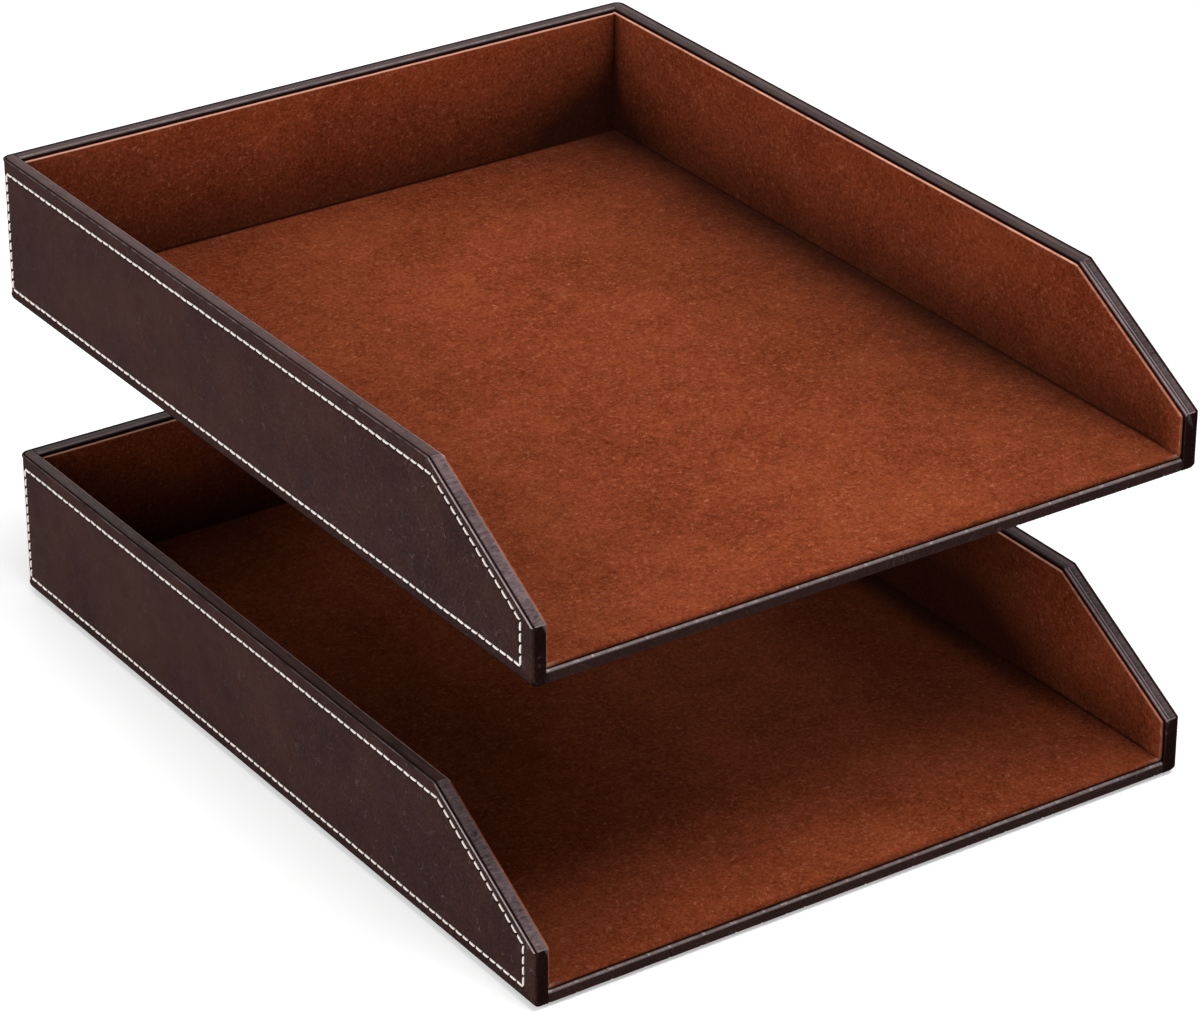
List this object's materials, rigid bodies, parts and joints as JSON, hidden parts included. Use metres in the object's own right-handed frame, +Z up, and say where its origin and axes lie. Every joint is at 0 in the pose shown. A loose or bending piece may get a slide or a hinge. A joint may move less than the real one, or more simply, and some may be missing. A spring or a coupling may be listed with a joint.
{
  "type": "letter tray stack",
  "caption": "Two-tier desk letter tray in stitched brown leather over board with a suede lining; the top tray lifts off steel riser brackets behind the lower one.",
  "frame": {"origin": "centre of the lower tray's width and depth, on the desk that its felt rests on", "axes": "+Z up, +Y from the open front to the back wall, +X to the right seen from the front"},
  "size_m": [0.257, 0.3352, 0.1682],
  "materials": {
    "outer_leather": "dark brown fine-grained leather, satin, with white saddle stitching",
    "rim_leather": "dark brown thin leather turned over the board edges, satin",
    "suede": "rust-brown suede, matt, short mottled nap",
    "thread": "white waxed saddle-stitching thread",
    "board": "raw fibreboard, hidden inside the leather",
    "felt": "dark brown pressed felt, matt",
    "bracket_steel": "fine-textured dark brown powder coat",
    "screw_steel": "black oxide, satin",
    "nut_steel": "zinc-plated, hidden under the lining",
    "stud_steel": "turned steel, satin",
    "socket_plastic": "black nylon, matt"
  },
  "bodies": {
    "lower_tray": {"lower_outer_band": "outer_leather", "lower_base_board": "board", "lower_base_cover": "rim_leather", "lower_left_board": "board", "lower_left_cover": "rim_leather", "lower_right_board": "board", "lower_right_cover": "rim_leather", "lower_back_board": "board", "lower_back_cover": "rim_leather", "lower_floor_lining": "suede", "lower_left_lining": "suede", "lower_right_lining": "suede", "lower_back_lining": "suede", "lower_underside_felt": "felt", "left_riser_bracket": "bracket_steel", "right_riser_bracket": "bracket_steel", "bracket_screws": "screw_steel", "bracket_nuts": "nut_steel", "locating_studs": "stud_steel"},
    "upper_tray": {"upper_outer_band": "outer_leather", "upper_base_board": "board", "upper_base_cover": "rim_leather", "upper_left_board": "board", "upper_left_cover": "rim_leather", "upper_right_board": "board", "upper_right_cover": "rim_leather", "upper_back_board": "board", "upper_back_cover": "rim_leather", "upper_floor_lining": "suede", "upper_left_lining": "suede", "upper_right_lining": "suede", "upper_back_lining": "suede", "upper_underside_felt": "felt", "stud_sockets": "socket_plastic"}
  },
  "joints": [
    {"name": "upper_tray_lift", "type": "slide", "parent": "lower_tray", "child": "upper_tray", "axis": [0, 0, 1], "range_m": [0, 0.12]}
  ]
}
